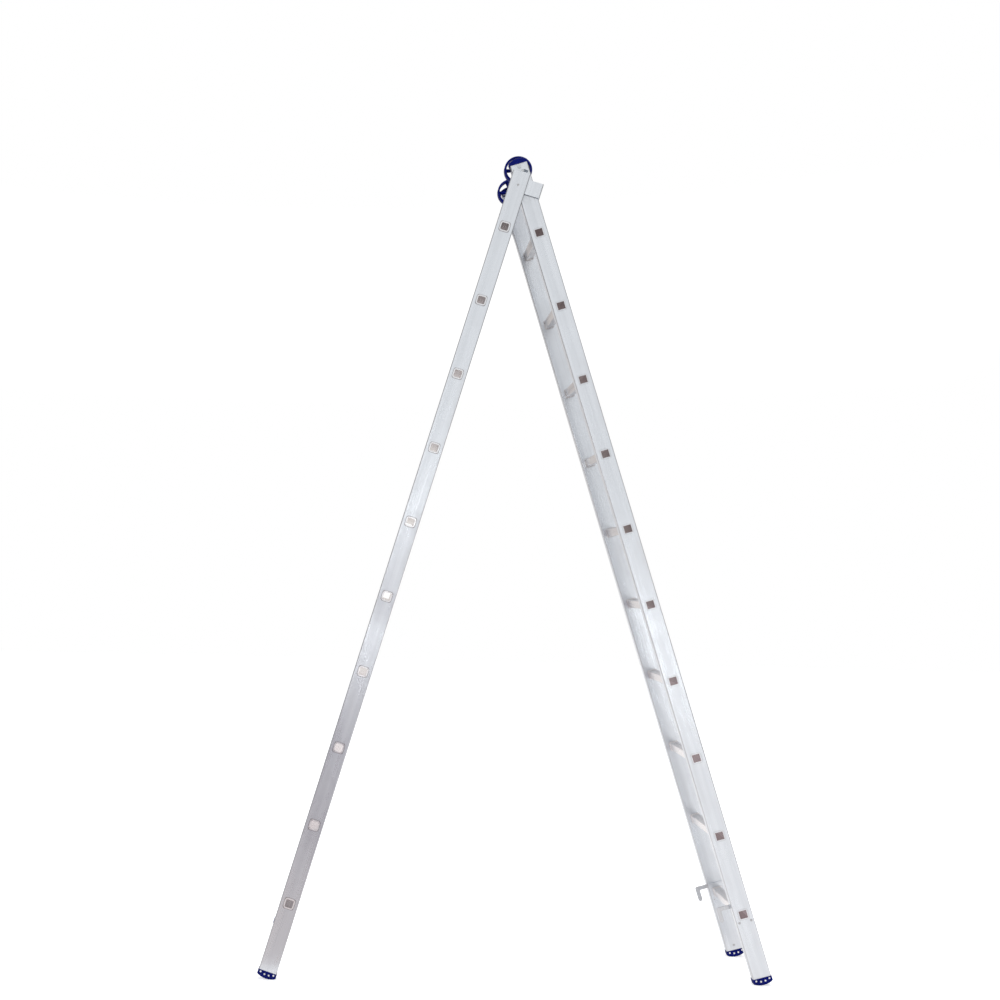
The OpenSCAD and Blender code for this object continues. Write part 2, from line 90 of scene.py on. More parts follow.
# The splay of the outer section: how much wider it gets on the way down, and the drop at which that starts
splay_slope = (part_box("outer_rung_10")[1].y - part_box("outer_rung_9")[1].y) / rung_pitch
splay_from = drop("outer_rung_10", outer_along) - (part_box("outer_rung_10")[1].y - outer_face) / splay_slope

# The stiles: half their depth and width, and the middle of their width, above the splay
stile_half = reach("inner_stile_right", inner_depth)[1]
inner_low, inner_high = reach("inner_stile_right", to_the_right)
stile_side = (inner_high - inner_low) / 2
inner_mid = (inner_high + inner_low) / 2
outer_mid = reach("outer_stile_right", to_the_right)[0] + stile_side

# Points nearer than this are one point
touching = 1e-6


# ---------------------------------------------------------------- node helpers

class Sheet:
    """Adds nodes to one tree, from left to right."""

    column_width = 180
    row_drop = 120
    rows = 4

    def __init__(self, tree):
        self.tree = tree
        self.count = 0

    def node(self, kind, **settings):
        made = self.tree.nodes.new(kind)
        made.location = (self.column_width * self.count, -self.row_drop * (self.count % self.rows))
        self.count += 1
        for name, value in settings.items():
            setattr(made, name, value)
        return made

    def feed(self, node, **inputs):
        """Joins sockets to a node's inputs, or sets plain values. i0, i1 and so on are inputs by number, and any
        other name is an input's own, with _ for spaces."""
        for name, value in inputs.items():
            socket = node.inputs[int(name[1:])] if name[1:].isdigit() else node.inputs[name.replace("_", " ")]
            if isinstance(value, bpy.types.NodeSocket):
                self.tree.links.new(value, socket)
            else:
                socket.default_value = value
        return node

    def maths(self, operation, a, b=0.0):
        return self.feed(self.node("ShaderNodeMath", operation=operation), i0=a, i1=b).outputs[0]

    def times(self, a, b):
        return self.maths("MULTIPLY", a, b)

    def plus(self, a, b):
        return self.maths("ADD", a, b)

    def minus(self, a, b):
        return self.maths("SUBTRACT", a, b)

    def size(self, value):
        return self.maths("ABSOLUTE", value)

    def vector(self, operation, a, b):
        return self.feed(self.node("ShaderNodeVectorMath", operation=operation), i0=a, i1=b).outputs[0]

    def dot(self, a, b):
        return self.feed(self.node("ShaderNodeVectorMath", operation="DOT_PRODUCT"), i0=a, i1=b).outputs["Value"]

    def stretch(self, place, share):
        """The place with its z made shorter, so that a pattern on it is drawn out along z."""
        return self.vector("MULTIPLY", place, (1, 1, share))

    def split(self, vector):
        return self.feed(self.node("ShaderNodeSeparateXYZ"), Vector=vector).outputs

    def join(self, x, y, z):
        return self.feed(self.node("ShaderNodeCombineXYZ"), X=x, Y=y, Z=z).outputs[0]

    def noise(self, place, scale, detail=3.0, roughness=0.5, distortion=0.0):
        made = self.node("ShaderNodeTexNoise")
        self.feed(made, Vector=place, Scale=scale, Detail=detail, Roughness=roughness, Distortion=distortion)
        return made.outputs["Fac"]

    def between(self, value, low, high, to_low=0.0, to_high=1.0, smooth=True):
        """Goes from to_low to to_high as the value goes from low to high. low may be the larger of the two."""
        made = self.node("ShaderNodeMapRange", interpolation_type="SMOOTHSTEP" if smooth else "LINEAR")
        return self.feed(made, i0=value, i1=low, i2=high, i3=to_low, i4=to_high).outputs[0]

    def blend(self, share, a, b):
        """Colour a where the share is 0, and b where it is 1."""
        made = self.node("ShaderNodeMix", data_type="RGBA")
        a, b = [tone if isinstance(tone, bpy.types.NodeSocket) else colour(tone) for tone in (a, b)]
        return self.feed(made, i0=share, i6=a, i7=b).outputs[2]

    def light_path(self, name):
        return self.node("ShaderNodeLightPath").outputs[name]

    def surface(self, name):
        return self.node("ShaderNodeNewGeometry").outputs[name]


def colour(tone):
    """A tone with the fourth number that colour sockets want."""
    return (*tone, 1.0)


origin = (0, 0, 0)
black = (0, 0, 0)
white = (1, 1, 1)


def new_group(name, inputs, outputs):
    """A shader node group, its sheet, the sockets it is given, and the node that takes its results."""
    group = bpy.data.node_groups.new(name, "ShaderNodeTree")
    for label, kind, value in inputs:
        socket = group.interface.new_socket(name=label, in_out="INPUT", socket_type="NodeSocket" + kind)
        socket.default_value = value
    for label, kind in outputs:
        group.interface.new_socket(name=label, in_out="OUTPUT", socket_type="NodeSocket" + kind)
    sheet = Sheet(group)
    return group, sheet, sheet.node("NodeGroupInput").outputs, sheet.node("NodeGroupOutput")


# ---------------------------------------------------------------- effects that several materials share

def along_section_group():
    """Place in a section: x through the stile's depth, y across it with the splay taken out, z along it."""
    group, sheet, given, result = new_group(
        "along_section",
        [("Position", "Vector", origin), ("Pivot", "Vector", origin), ("Depth", "Vector", (1, 0, 0)),
         ("Along", "Vector", (0, 0, 1)), ("Splay From", "Float", 10.0), ("Splay Slope", "Float", 0.0)],
        [("Place", "Vector")])
    offset = sheet.vector("SUBTRACT", given["Position"], given["Pivot"])
    x = sheet.dot(offset, given["Depth"])
    z = sheet.dot(offset, given["Along"])
    width = sheet.size(sheet.split(offset)["Y"])
    below = sheet.maths("MAXIMUM", sheet.minus(sheet.times(z, -1.0), given["Splay From"]), 0.0)
    width = sheet.minus(width, sheet.times(below, given["Splay Slope"]))
    sheet.feed(result, Place=sheet.join(x, width, z))
    return group


def drawn_metal_group():
    """Marks of drawing a section through a die: fine lines, soft bands, and handling marks. The lines run along z."""
    group, sheet, given, result = new_group(
        "drawn_metal",
        [("Place", "Vector", origin), ("Line Scale", "Float", 900.0), ("Band Scale", "Float", 55.0)],
        [("Lines", "Float"), ("Bands", "Float"), ("Smudges", "Float"), ("Scratches", "Float")])
    lines = sheet.noise(sheet.stretch(given["Place"], 0.003), given["Line Scale"], detail=4.0, roughness=0.6)
    bands = sheet.noise(sheet.stretch(given["Place"], 0.008), given["Band Scale"], detail=2.0, roughness=0.45)
    smudges = sheet.noise(sheet.stretch(given["Place"], 0.35), 13.0, detail=4.0, roughness=0.55, distortion=0.6)
    slant = sheet.feed(sheet.node("ShaderNodeMapping"), Vector=given["Place"], Rotation=(0.5, 0.35, 0.2),
                       Scale=(1, 1, 0.07)).outputs[0]
    hairs = sheet.between(sheet.noise(slant, 420.0, detail=1.0, roughness=0.4), 0.71, 0.76)
    patches = sheet.between(sheet.noise(given["Place"], 17.0, detail=2.0), 0.52, 0.64)
    sheet.feed(result, Lines=lines, Bands=bands, Smudges=smudges, Scratches=sheet.times(hairs, patches))
    return group


def edge_wear_group():
    """A mask of rubbed edges, broken up by noise."""
    group, sheet, given, result = new_group(
        "edge_wear",
        [("Place", "Vector", origin), ("Width", "Float", 0.001), ("Break Up", "Float", 260.0)],
        [("Mask", "Float")])
    flat_to, sharp_from = 0.99, 0.90
    rounded = sheet.feed(sheet.node("ShaderNodeBevel", samples=4), Radius=given["Width"]).outputs[0]
    edge = sheet.between(sheet.dot(rounded, sheet.surface("Normal")), flat_to, sharp_from)
    broken = sheet.between(sheet.noise(given["Place"], given["Break Up"], roughness=0.6), 0.35, 0.65)
    sheet.feed(result, Mask=sheet.times(edge, broken))
    return group


def corner_shade_group():
    """A mask of painted shade along the four rounded corners of a stile, broken up along its length: dark lines that
    stand in for the darker studio the corners reflect.
    """
    fade_from, fade_to = 0.0045, 0.0014
    group, sheet, given, result = new_group(
        "corner_shade",
        [("Place", "Vector", origin), ("Half Depth", "Float", 0.032), ("Middle", "Float", 0.14),
         ("Half Width", "Float", 0.0125)],
        [("Mask", "Float")])
    parts = sheet.split(given["Place"])
    near_front, near_side = [
        sheet.between(sheet.minus(half, sheet.size(off)), fade_from, fade_to)
        for off, half in ((parts["X"], given["Half Depth"]),
                          (sheet.minus(parts["Y"], given["Middle"]), given["Half Width"]))]
    mottle = sheet.noise(sheet.stretch(given["Place"], 0.06), 130.0, roughness=0.6)
    broken = sheet.between(mottle, 0.3, 0.6, 0.7, 1.0)
    sheet.feed(result, Mask=sheet.times(sheet.times(near_front, near_side), broken))
    return group


def from_nearest_rung(sheet, given, along):
    """Distance up or down the stile from the middle of the nearest rung."""
    steps = sheet.maths("DIVIDE", sheet.plus(along, given["First Drop"]), given["Pitch"])
    return sheet.times(sheet.minus(steps, sheet.maths("ROUND", steps)), given["Pitch"])


def rung_seat_group():
    """A mask of painted shade: a dark ring in the angle between a stile's face and the rims of its rungs, where the
    rim's shadow falls.
    """
    # The rim is a rounded square: the higher the power, the squarer
    squareness = 5.0
    shade_from, shade_to = 0.0028, 0.0006
    group, sheet, given, result = new_group(
        "rung_seat",
        [("Place", "Vector", origin), ("First Drop", "Float", 0.2), ("Pitch", "Float", 0.28),
         ("Rim", "Float", 0.017)],
        [("Mask", "Float")])
    parts = sheet.split(given["Place"])
    away = from_nearest_rung(sheet, given, parts["Z"])
    powers = [sheet.maths("POWER", sheet.size(off), squareness) for off in (away, parts["X"])]
    past = sheet.minus(sheet.maths("POWER", sheet.plus(*powers), 1 / squareness), given["Rim"])
    ring = sheet.between(past, shade_from, shade_to)
    broken = sheet.between(sheet.noise(given["Place"], 210.0, roughness=0.6), 0.3, 0.65, 0.5, 1.0)
    sheet.feed(result, Mask=sheet.times(ring, broken))
    return group


def tube_inside_group():
    """A mask of the inside of the rung tubes, which takes the bore tone, a smoother finish and a painted glow."""
    group, sheet, given, result = new_group(
        "tube_inside",
        [("Place", "Vector", origin), ("First Drop", "Float", 0.2), ("Pitch", "Float", 0.28),
         ("Half", "Float", 0.0135)],
        [("Inside", "Float")])
    parts = sheet.split(given["Place"])
    away = from_nearest_rung(sheet, given, parts["Z"])
    off_middle = sheet.maths("MAXIMUM", sheet.size(away), sheet.size(parts["X"]))
    sheet.feed(result, Inside=sheet.maths("LESS_THAN", off_middle, given["Half"]))
    return group


def cavity_inside_group():
    """A mask of the inside of a stile's hollow section, which starts deeper than the skin."""
    group, sheet, given, result = new_group(
        "cavity_inside",
        [("Place", "Vector", origin), ("Half Depth", "Float", 0.035), ("Middle", "Float", 0.15),
         ("Half Width", "Float", 0.012), ("Skin", "Float", 0.0008)],
        [("Inside", "Float")])
    parts = sheet.split(given["Place"])
    from_front = sheet.minus(given["Half Depth"], sheet.size(parts["X"]))
    from_side = sheet.minus(given["Half Width"], sheet.size(sheet.minus(parts["Y"], given["Middle"])))
    nearest = sheet.maths("MINIMUM", from_front, from_side)
    sheet.feed(result, Inside=sheet.maths("GREATER_THAN", nearest, given["Skin"]))
    return group


def moulded_skin_group():
    """The fine grain, faint flow marks and scuffs of moulded plastic."""
    group, sheet, given, result = new_group(
        "moulded_skin",
        [("Position", "Vector", origin), ("Grain Scale", "Float", 1600.0)],
        [("Grain", "Float"), ("Flow", "Float"), ("Scuffs", "Float")])
    grain = sheet.noise(given["Position"], given["Grain Scale"], detail=2.0, roughness=0.6)
    flow = sheet.noise(sheet.stretch(given["Position"], 0.4), 42.0, distortion=0.8)
    scratched = sheet.noise(given["Position"], 150.0, detail=5.0, roughness=0.7, distortion=0.4)
    sheet.feed(result, Grain=grain, Flow=flow, Scuffs=sheet.between(scratched, 0.56, 0.72))
    return group


along_section = along_section_group()
drawn_metal = drawn_metal_group()
edge_wear = edge_wear_group()
corner_shade = corner_shade_group()
rung_seat = rung_seat_group()
tube_inside = tube_inside_group()
cavity_inside = cavity_inside_group()
moulded_skin = moulded_skin_group()


# ---------------------------------------------------------------- materials

# Tones that marks and wear on the metal take, and the tones of painted shade round the rungs and along the corners,
# and of the painted glow in the stile hollows
line_tone = (0.50, 0.51, 0.53)
smudge_tone = (0.50, 0.49, 0.49)
scratch_tone = (0.84, 0.84, 0.85)
rubbed_tone = (0.80, 0.80, 0.81)
seat_shade_tone = (0.22, 0.20, 0.21)
corner_shade_tone = (0.34, 0.32, 0.32)
low_rung_tone = (0.86, 0.845, 0.85)
stile_hollow_glow = (0.27, 0.26, 0.26)
bright_edge_tone = (0.82, 0.82, 0.83)

# Heights above the pivot, along a section, between which its rungs change
lighter_going_down = (-0.8, -2.1)
floor_light = (-1.3, -2.3)
last_rung = (-2.50, -2.62)


def new_material(name):
    """A material, its sheet, the place on the object, and its shader."""
    material = bpy.data.materials.new(name)
    material.use_nodes = True
    tree = material.node_tree
    tree.nodes.clear()
    sheet = Sheet(tree)
    position = sheet.node("ShaderNodeTexCoord").outputs["Object"]
    shader = sheet.node("ShaderNodeBsdfPrincipled")
    sheet.feed(sheet.node("ShaderNodeOutputMaterial"), Surface=shader.outputs[0])
    return material, sheet, position, shader


def use(sheet, group, **inputs):
    made = sheet.node("ShaderNodeGroup")
    made.node_tree = group
    return sheet.feed(made, **inputs).outputs


def section_place(sheet, position, section):
    """The place in the outer or the inner section. Only the outer one is splayed."""
    if section == "outer":
        return use(sheet, along_section, Position=position, Pivot=pivot, Depth=outer_depth, Along=outer_along,
                   Splay_From=splay_from, Splay_Slope=splay_slope)["Place"]
    return use(sheet, along_section, Position=position, Pivot=pivot, Depth=inner_depth, Along=inner_along)["Place"]


def bump(sheet, height, strength, distance, over=None):
    """Fine relief, over the surface's own normal or over the one that is given."""
    made = sheet.feed(sheet.node("ShaderNodeBump"), Height=height, Strength=strength, Distance=distance)
    if over is not None:
        sheet.feed(made, Normal=over)
    return made.outputs[0]


def flat_at_bend(sheet, place):
    """The surface's normal, taken straight from the faces where the long flats of an outer stile meet its bend."""
    fade_from, fade_to = 0.22, 0.16
    rounding = 0.0035
    parts = sheet.split(place)
    near = sheet.between(sheet.size(sheet.plus(parts["Z"], splay_from)), fade_from, fade_to)
    flat = sheet.maths("LESS_THAN", sheet.size(parts["X"]), stile_half - rounding)
    made = sheet.node("ShaderNodeMix", data_type="VECTOR")
    sheet.feed(made, i0=sheet.times(near, flat), i4=sheet.surface("Normal"), i5=sheet.surface("True Normal"))
    return made.outputs[1]


def mill_aluminium(name, section, pale, dull, rough, across=False):
    """Extruded aluminium: bands and die lines along the stile, or along the rung, which lies across."""
    material, sheet, position, shader = new_material(name)
    place = section_place(sheet, position, section)
    grain_place = place
    if across:
        parts = sheet.split(place)
        grain_place = sheet.join(parts["X"], parts["Z"], parts["Y"])
    marks = use(sheet, drawn_metal, Place=grain_place)
    worn = use(sheet, edge_wear, Place=place, Width=0.0008)["Mask"]
    tone = sheet.blend(sheet.between(marks["Bands"], 0.3, 0.7), dull, pale)
    tone = sheet.blend(sheet.between(marks["Lines"], 0.35, 0.75, 0.0, 0.16), tone, line_tone)
    tone = sheet.blend(sheet.between(marks["Smudges"], 0.5, 0.75, 0.0, 0.14), tone, smudge_tone)
    tone = sheet.blend(sheet.times(marks["Scratches"], 0.35), tone, scratch_tone)
    tone = sheet.blend(sheet.times(worn, 0.5), tone, rubbed_tone)
    roughness = sheet.between(marks["Smudges"], 0.3, 0.75, rough, rough + 0.12)
    roughness = sheet.plus(roughness, sheet.between(marks["Lines"], 0.3, 0.7, -0.04, 0.05))
    roughness = sheet.plus(roughness, sheet.times(worn, 0.08))
    return material, sheet, place, shader, marks["Lines"], tone, roughness


def many_bounces(sheet, inside, glow_tone):
    """Painted glow: past the first bounce the inside of a tube glows with the given tone, standing in for the light
    that bounces many times down it off walls of that average tone.
    """
    bounced = sheet.maths("GREATER_THAN", sheet.light_path("Glossy Depth"), 0.5)
    return sheet.blend(sheet.times(inside, bounced), black, glow_tone)


def stile_material(name, section, middle_out, first_drop, seat_shade):
    """The stiles' skin: painted shade round the rungs and along the corners, and a painted glow in the hollow."""
    material, sheet, place, shader, lines, tone, roughness = mill_aluminium(
        name, section, pale=(0.70, 0.73, 0.77), dull=(0.65, 0.68, 0.72), rough=0.25)
    seat = use(sheet, rung_seat, Place=place, First_Drop=first_drop, Pitch=rung_pitch, Rim=rim_half)["Mask"]
    # Painted shade: a dark ring in the angle round each rung's rim
    tone = sheet.blend(sheet.times(seat, seat_shade), tone, seat_shade_tone)
    sizes = {"Half_Depth": stile_half, "Middle": middle_out, "Half_Width": stile_side}
    # Painted shade: dark lines along the rounded corners, for the darker studio they reflect
    rubbed = use(sheet, corner_shade, Place=place, **sizes)["Mask"]
    tone = sheet.blend(sheet.times(rubbed, 0.42), tone, corner_shade_tone)
    normal = bump(sheet, lines, 0.22, 0.0003, over=flat_at_bend(sheet, place) if section == "outer" else None)
    # Painted glow in the hollow, for light bounced many times inside it
    inside = use(sheet, cavity_inside, Place=place, **sizes)["Inside"]
    deep = many_bounces(sheet, inside, stile_hollow_glow)
    sheet.feed(shader, Base_Color=tone, Metallic=1.0, Roughness=roughness, Normal=normal,
               Emission_Color=deep, Emission_Strength=1.0)
    return material


def sheet_material(name, section):
    """Cut and folded sheet, a little brighter than the stiles."""
    material, sheet, _, shader, lines, tone, roughness = mill_aluminium(
        name, section, pale=(0.77, 0.80, 0.84), dull=(0.69, 0.72, 0.76), rough=0.27)
    sheet.feed(shader, Base_Color=tone, Metallic=1.0, Roughness=roughness, Normal=bump(sheet, lines, 0.3, 0.0003))
    return material


def rung_material(name, section, first_drop, face, rims, bore, fills):
    """The rungs' skin. The low rungs are lighter, and so are their rims.

    rims are the tones of a high and a low rung's rim. fills are the tones of a painted glow in the bores of a high, a
    low and the last rung, standing in for light bounced down them: the floor sends more light into the low ones, but
    less into the last."""
    rim_from, rim_to = face - 0.0022, face - 0.0012
    material, sheet, place, shader, lines, tone, roughness = mill_aluminium(
        name, section, pale=(0.60, 0.585, 0.58), dull=(0.48, 0.465, 0.475), rough=0.24, across=True)
    inside = use(sheet, tube_inside, Place=place, First_Drop=first_drop, Pitch=rung_pitch)["Inside"]
    parts = sheet.split(place)
    low = sheet.between(parts["Z"], *lighter_going_down)
    # Lighter towards the bottom
    tone = sheet.blend(sheet.times(low, 0.75), tone, low_rung_tone)
    swaged = sheet.between(parts["Y"], rim_from, rim_to)
    tone = sheet.blend(sheet.times(swaged, 0.85), tone, sheet.blend(low, *rims))
    # The bore tone sets how bright the holes look: in the inner rungs it is painted shade, far darker than the metal
    tone = sheet.blend(inside, tone, bore)
    roughness = sheet.times(roughness, sheet.between(inside, 0.0, 1.0, 1.0, 0.55, smooth=False))
    # Painted glow in the bores, brighter in the low rungs and dimmer in the last
    high_fill, low_fill, last_fill = fills
    fill = sheet.blend(sheet.between(parts["Z"], *floor_light), high_fill, low_fill)
    fill = sheet.blend(sheet.between(parts["Z"], *last_rung), fill, last_fill)
    sheet.feed(shader, Base_Color=tone, Metallic=1.0, Roughness=roughness, Normal=bump(sheet, lines, 0.3, 0.0002),
               Emission_Color=many_bounces(sheet, inside, fill), Emission_Strength=1.0)
    return material


def plain_metal(name, pale, dull, rough, spangle):
    """Small metal parts: a mottled skin, with rubbed edges."""
    cloud_shade = 0.7
    material, sheet, position, shader = new_material(name)
    cells = sheet.feed(sheet.node("ShaderNodeTexVoronoi"), Vector=position, Scale=spangle).outputs["Distance"]
    worn = use(sheet, edge_wear, Place=position, Width=0.0005)["Mask"]
    cloud = sheet.noise(position, 180.0, detail=4.0, roughness=0.6)
    tone = sheet.blend(sheet.between(cells, 0.0, 0.8), pale, dull)
    tone = sheet.blend(sheet.between(cloud, 0.4, 0.8, 0.0, 0.35), tone, [cloud_shade * part for part in dull])
    tone = sheet.blend(sheet.times(worn, 0.6), tone, bright_edge_tone)
    roughness = sheet.between(cloud, 0.3, 0.7, rough - 0.06, rough + 0.1)
    normal = bump(sheet, sheet.noise(position, 1400.0, detail=2.0), 0.15, 0.0001)
    sheet.feed(shader, Base_Color=tone, Metallic=1.0, Roughness=roughness, Normal=normal)
    return material


def moulded_plastic(name, base, worn_tone, dust_tone, rough, wear_width, gloss):
    """Moulded plastic: grain and flow marks, scuffs, rubbed edges, and dust on what faces up."""
    flow_lift = 1.35
    material, sheet, position, shader = new_material(name)
    skin = use(sheet, moulded_skin, Position=position)
    worn = use(sheet, edge_wear, Place=position, Width=wear_width, Break_Up=420.0)["Mask"]
    tone = sheet.blend(sheet.between(skin["Flow"], 0.3, 0.7), base, [flow_lift * part for part in base])
    tone = sheet.blend(sheet.times(skin["Scuffs"], 0.10), tone, worn_tone)
    tone = sheet.blend(sheet.times(worn, 0.3), tone, worn_tone)
    facing_up = sheet.between(sheet.split(sheet.surface("Normal"))["Z"], 0.3, 1.0)
    dusty = sheet.times(facing_up, sheet.between(skin["Flow"], 0.4, 0.7, 0.005, 0.035))
    tone = sheet.blend(dusty, tone, dust_tone)
    roughness = sheet.between(skin["Flow"], 0.3, 0.7, rough - 0.05, rough + 0.07)
    roughness = sheet.plus(roughness, sheet.times(dusty, 0.8))
    normal = bump(sheet, skin["Grain"], 0.3, 0.0001)
    sheet.feed(shader, Base_Color=tone, Roughness=roughness, Normal=normal, IOR=1.5, Specular_IOR_Level=gloss)
    return material


materials = {
    "outer_stile": stile_material("outer_stile_mill", "outer", outer_mid, outer_first, seat_shade=1.0),
    "inner_stile": stile_material("inner_stile_mill", "inner", inner_mid, inner_first, seat_shade=0.2),
    "bracket": sheet_material("bracket_sheet", "outer"),
    "outer_rung": rung_material(
        "outer_rung_mill", "outer", outer_first, outer_face,
        rims=((0.74, 0.75, 0.77), (0.90, 0.90, 0.91)), bore=(0.66, 0.645, 0.65),
        fills=((0.05, 0.045, 0.045), (0.25, 0.237, 0.24), (0.12, 0.112, 0.115))),
    "inner_rung": rung_material(
        "inner_rung_mill", "inner", inner_first, inner_face,
        rims=((0.65, 0.67, 0.70), (0.65, 0.67, 0.70)), bore=(0.23, 0.20, 0.195),
        fills=((0.17, 0.145, 0.15), (0.44, 0.385, 0.405), (0.48, 0.42, 0.445))),
    "rivet": plain_metal(
        "rivet_bright", pale=(0.62, 0.62, 0.63), dull=(0.50, 0.50, 0.51), rough=0.36, spangle=900.0),
    "steel": plain_metal(
        "zinc_plate", pale=(0.66, 0.68, 0.70), dull=(0.54, 0.56, 0.58), rough=0.32, spangle=700.0),
    "navy": moulded_plastic(
        "navy_moulding", base=(0.0008, 0.005, 0.125), worn_tone=(0.02, 0.04, 0.25), dust_tone=(0.20, 0.20, 0.22),
        rough=0.5, wear_width=0.0007, gloss=0.1),
    "white": moulded_plastic(
        "white_moulding", base=(0.80, 0.78, 0.78), worn_tone=(0.70, 0.69, 0.69), dust_tone=(0.5, 0.48, 0.47),
        rough=0.42, wear_width=0.0004, gloss=0.4),
}


def material_for(name):
    """The material of a CAD piece, by its name."""
    for part in ("outer_stile", "inner_stile", "outer_rung", "inner_rung"):
        if name.startswith(part):
            return materials[part]
    if name.startswith("guide_bracket"):
        return materials["bracket"]
    if name.startswith("rung_hook"):
        return materials["inner_stile"]
    if name.endswith("rivets"):
        return materials["rivet"]
    if name.endswith("pins"):
        return materials["white"]
    if name.startswith(("pivot_stud", "wheel_axle", "axle_")):
        return materials["steel"]
    return materials["navy"]


for name, piece in nodes.items():
    piece.data.materials.clear()
    piece.data.materials.append(material_for(name))


# ---------------------------------------------------------------- pulled rivets and grip pins

def shells_of(node):
    """The separate shells of a node's mesh, each as a list of points."""
    work = bmesh.new()
    work.from_mesh(nodes[node].data)
    bmesh.ops.remove_doubles(work, verts=work.verts, dist=touching)
    found, seen = [], set()
    for start in work.verts:
        if start in seen:
            continue
        seen.add(start)
        waiting, shell = [start], []
        while waiting:
            vertex = waiting.pop()
            shell.append(vertex.co.copy())
            for edge in vertex.link_edges:
                other = edge.other_vert(vertex)
                if other not in seen:
                    seen.add(other)
                    waiting.append(other)
        found.append(shell)
    work.free()
    return found


def spots(node, facing_at, stand_out):
    """Where a node's fasteners sit: the foot of each head, its facing, and the grip behind it."""
    found = []
    for shell in shells_of(node):
        centre = sum(shell, Vector()) / len(shell)
        facing = facing_at(math.copysign(1.0, centre.y))
        across = facing.orthogonal().normalized()
        up = facing.cross(across)
        shares = [[point.dot(way) for point in shell] for way in (across, up, facing)]
        x, z = [(min(values) + max(values)) / 2 for values in shares[:2]]
        foot = max(shares[2]) - stand_out
        found.append((across * x + up * z + facing * foot, facing, foot - min(shares[2])))
    return found


def outward(side):
    return to_the_right * side


def inward(side):
    return -outward(side)


def inward_splayed(side):
    """Inwards, square to a splayed stile."""
    lean = math.atan(splay_slope)
    return -(outward(side) * math.cos(lean) + outer_along * math.sin(lean))


def share_curve(sheet, along, values):
    """A value that passes through the given shares, at even steps along the profile."""
    made = sheet.node("ShaderNodeFloatCurve")
    curve = made.mapping.curves[0]
    while len(curve.points) < len(values):
        curve.points.new(0.5, 0.5)
    for step, value in enumerate(values):
        curve.points[step].location = (step / (len(values) - 1), value)
        curve.points[step].handle_type = "VECTOR"
    made.mapping.update()
    return sheet.feed(made, Value=along).outputs[0]


def named_value(sheet, name, kind="FLOAT"):
    return sheet.feed(sheet.node("GeometryNodeInputNamedAttribute", data_type=kind), Name=name).outputs[0]


def turned_tree(name, profile, material):
    """Sets a turned part at every point: a profile swept round its axis, with a shank as long as the point's grip.

    The profile runs from the middle of the front to the middle of the back, as shares of the radius, of the
    front's height, and of the shank's length."""
    tree = bpy.data.node_groups.new(name, "GeometryNodeTree")
    for label, kind, side in (("Geometry", "Geometry", "INPUT"), ("Around", "Int", "INPUT"),
                              ("Radius", "Float", "INPUT"), ("Front Height", "Float", "INPUT"),
                              ("Geometry", "Geometry", "OUTPUT")):
        tree.interface.new_socket(name=label, in_out=side, socket_type="NodeSocket" + kind)
    sheet = Sheet(tree)
    given = sheet.node("NodeGroupInput").outputs

    # A grid whose x goes round the axis and whose y goes along the profile
    grid = sheet.feed(sheet.node("GeometryNodeMeshGrid"), Size_X=1.0, Size_Y=1.0,
                      Vertices_X=sheet.plus(given["Around"], 1.0), Vertices_Y=len(profile)).outputs
    share = sheet.split(grid["UV Map"])
    radius, height, shank = [share_curve(sheet, share["Y"], values) for values in zip(*profile)]
    turn = sheet.times(share["X"], -2 * math.pi)
    radius = sheet.times(radius, given["Radius"])
    x = sheet.times(radius, sheet.maths("COSINE", turn))
    y = sheet.times(radius, sheet.maths("SINE", turn))
    z = sheet.times(height, given["Front Height"])
    stored = sheet.feed(sheet.node("GeometryNodeStoreNamedAttribute", data_type="FLOAT", domain="POINT"),
                        Geometry=grid["Mesh"], Name="shank_share", Value=shank).outputs[0]
    swept = sheet.feed(sheet.node("GeometryNodeSetPosition"), Geometry=stored,
                       Position=sheet.join(x, y, z)).outputs[0]

    # One at every point, turned to its facing, and its back drawn out by the grip
    facing = named_value(sheet, "facing", "FLOAT_VECTOR")
    turned = sheet.feed(sheet.node("FunctionNodeAlignRotationToVector", axis="Z"), Vector=facing).outputs[0]
    placed = sheet.feed(sheet.node("GeometryNodeInstanceOnPoints"), Points=given["Geometry"], Instance=swept,
                        Rotation=turned).outputs[0]
    real = sheet.feed(sheet.node("GeometryNodeRealizeInstances"), Geometry=placed).outputs[0]
    length = sheet.times(named_value(sheet, "grip"), named_value(sheet, "shank_share"))
    back = sheet.feed(sheet.node("ShaderNodeVectorMath", operation="SCALE"), Vector=facing,
                      Scale=sheet.times(length, -1.0)).outputs[0]
    drawn = sheet.feed(sheet.node("GeometryNodeSetPosition"), Geometry=real, Offset=back).outputs[0]
    closed = sheet.feed(sheet.node("GeometryNodeMergeByDistance"), Geometry=drawn, Distance=touching).outputs[0]
    done = sheet.feed(sheet.node("GeometryNodeSetMaterial"), Geometry=closed, Material=material).outputs[0]
    sheet.feed(sheet.node("NodeGroupOutput"), Geometry=done)
    return tree


